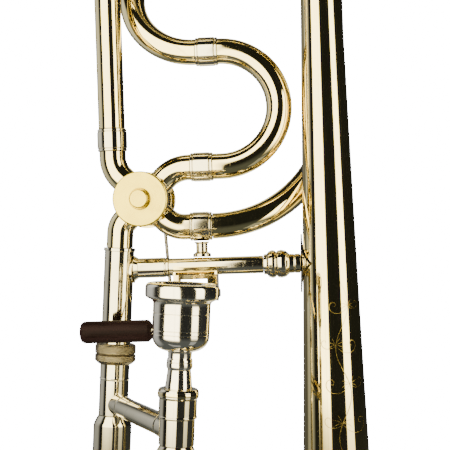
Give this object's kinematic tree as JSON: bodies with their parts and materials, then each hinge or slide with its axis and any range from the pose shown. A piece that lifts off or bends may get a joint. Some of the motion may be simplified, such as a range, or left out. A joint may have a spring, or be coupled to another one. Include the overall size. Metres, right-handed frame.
{
  "type": "tenor trombone",
  "caption": "Slide brass instrument: flared bell, telescoping hand slide, tuning slides, thumb-operated rotary valve with an extra loop, and a cup mouthpiece.",
  "frame": {"origin": "on the neckpipe's axis at the height of the bell brace, where the left hand holds it", "axes": "+Z runs from the bell's mouth towards the tuning slide, along the bell's axis; -Y is the front of the valve, the side the picture shows; +X runs from the neckpipe to the bell"},
  "size_m": [0.2961, 0.216, 1.1714],
  "materials": {
    "lacquered_brass": "polished, clear lacquer",
    "nickel_silver": "polished nickel silver",
    "silver_plate": "polished silver plate",
    "steel": "fine satin",
    "dark_wood": "oiled, turned",
    "cork": "natural cork",
    "black_rubber": "matt"
  },
  "bodies": {
    "bell_section": {"bell": "lacquered_brass", "bell_throat": "lacquered_brass", "bell_stem": "lacquered_brass", "bell_brace": "nickel_silver", "bell_brace_collar": "nickel_silver", "bell_saddle": "nickel_silver", "bell_slide_sleeve": "nickel_silver", "cork_barrel_left": "nickel_silver", "cork_barrel_right": "nickel_silver", "f_ferrule_post": "nickel_silver", "f_left_branch": "lacquered_brass", "f_lower_elbow": "lacquered_brass", "f_lower_ferrule": "nickel_silver", "f_right_branch": "lacquered_brass", "f_right_sleeve": "nickel_silver", "f_top_ferrule": "nickel_silver", "f_u_bend": "lacquered_brass", "f_upper_elbow": "lacquered_brass", "f_upper_ferrule": "nickel_silver", "gooseneck_elbow": "lacquered_brass", "gooseneck_ferrule": "nickel_silver", "gooseneck_tube": "lacquered_brass", "inner_slide_brace": "nickel_silver", "inner_slide_tube_left": "nickel_silver", "inner_slide_tube_right": "nickel_silver", "leadpipe": "lacquered_brass", "left_slide_sleeves": "nickel_silver", "lever_axle": "steel", "lever_bracket": "lacquered_brass", "lever_spring": "steel", "mouthpiece_receiver": "nickel_silver", "neck_elbow": "lacquered_brass", "neckpipe": "nickel_silver", "slide_tenon": "nickel_silver", "upper_bell_brace": "nickel_silver", "valve_bearing_plate": "lacquered_brass", "valve_cap": "lacquered_brass", "valve_casing": "lacquered_brass"},
    "hand_slide": {"outer_slide_tube_left": "nickel_silver", "outer_slide_tube_right": "nickel_silver", "outer_slide_brace": "nickel_silver", "slide_bow": "lacquered_brass", "bumper_socket": "nickel_silver", "slide_bumper": "black_rubber", "water_key_fittings": "nickel_silver"},
    "slide_lock": {"slide_lock_ring": "nickel_silver"},
    "neck_nut": {"neck_nut": "nickel_silver"},
    "mouthpiece": {"mouthpiece": "silver_plate"},
    "thumb_lever": {"thumb_lever": "lacquered_brass", "thumb_roller": "dark_wood"},
    "rotor": {"rotor": "lacquered_brass", "stop_arm": "steel"},
    "link_rod": {"link_rod": "steel"},
    "main_tuning_slide": {"main_slide_legs": "nickel_silver", "main_slide_bow": "lacquered_brass"},
    "f_tuning_slide": {"f_slide_legs": "nickel_silver", "f_slide_bow": "lacquered_brass"},
    "water_key": {"water_key": "lacquered_brass", "water_key_pad": "cork"}
  },
  "joints": [
    {"name": "hand_slide_travel", "type": "slide", "parent": "bell_section", "child": "hand_slide", "axis": [-0.075, 0, -0.9972], "range_m": [0, 0.58]},
    {"name": "slide_lock_turn", "type": "hinge", "parent": "bell_section", "child": "slide_lock", "pos_m": [0.04616, -0.07496, -0.00347], "axis": [0.075, 0, 0.9972], "range_deg": [0, 30]},
    {"name": "neck_nut_turn", "type": "hinge", "parent": "bell_section", "child": "neck_nut", "pos_m": [0, 0, 0], "axis": [0.075, 0, 0.9972], "range_deg": [0, 720]},
    {"name": "mouthpiece_pull", "type": "slide", "parent": "bell_section", "child": "mouthpiece", "axis": [0.075, 0, 0.9972], "range_m": [0, 0.03]},
    {"name": "thumb_lever_press", "type": "hinge", "parent": "bell_section", "child": "thumb_lever", "pos_m": [0.033, -0.001, -0.015], "axis": [1, 0, 0], "range_deg": [0, 34.3], "stiffness_Nm_per_rad": 0.05, "springref_deg": -20.05},
    {"name": "rotor_turn", "type": "hinge", "parent": "bell_section", "child": "rotor", "pos_m": [0.0169, 0, 0.0411], "axis": [0, -1, 0], "range_deg": [0, 90]},
    {"name": "link_rod_swing", "type": "hinge", "parent": "thumb_lever", "child": "link_rod", "pos_m": [0.028, 0.02423, -0.02278], "axis": [1, 0, 0], "range_deg": [-34.5, 0]},
    {"name": "main_tuning_travel", "type": "slide", "parent": "bell_section", "child": "main_tuning_slide", "axis": [0, 0, 1], "range_m": [0, 0.04]},
    {"name": "f_tuning_travel", "type": "slide", "parent": "bell_section", "child": "f_tuning_slide", "axis": [0, 0, 1], "range_m": [0, 0.04]},
    {"name": "water_key_lift", "type": "hinge", "parent": "hand_slide", "child": "water_key", "pos_m": [-0.04977, -0.04631, -0.78001], "axis": [0.075, 0, 0.9972], "range_deg": [0, 18], "stiffness_Nm_per_rad": 0.01, "springref_deg": -17.19}
  ],
  "couplings": [
    {"joint": "rotor_turn", "follows": "thumb_lever_press", "ratio": 2.62},
    {"joint": "link_rod_swing", "follows": "thumb_lever_press", "ratio": -1}
  ]
}
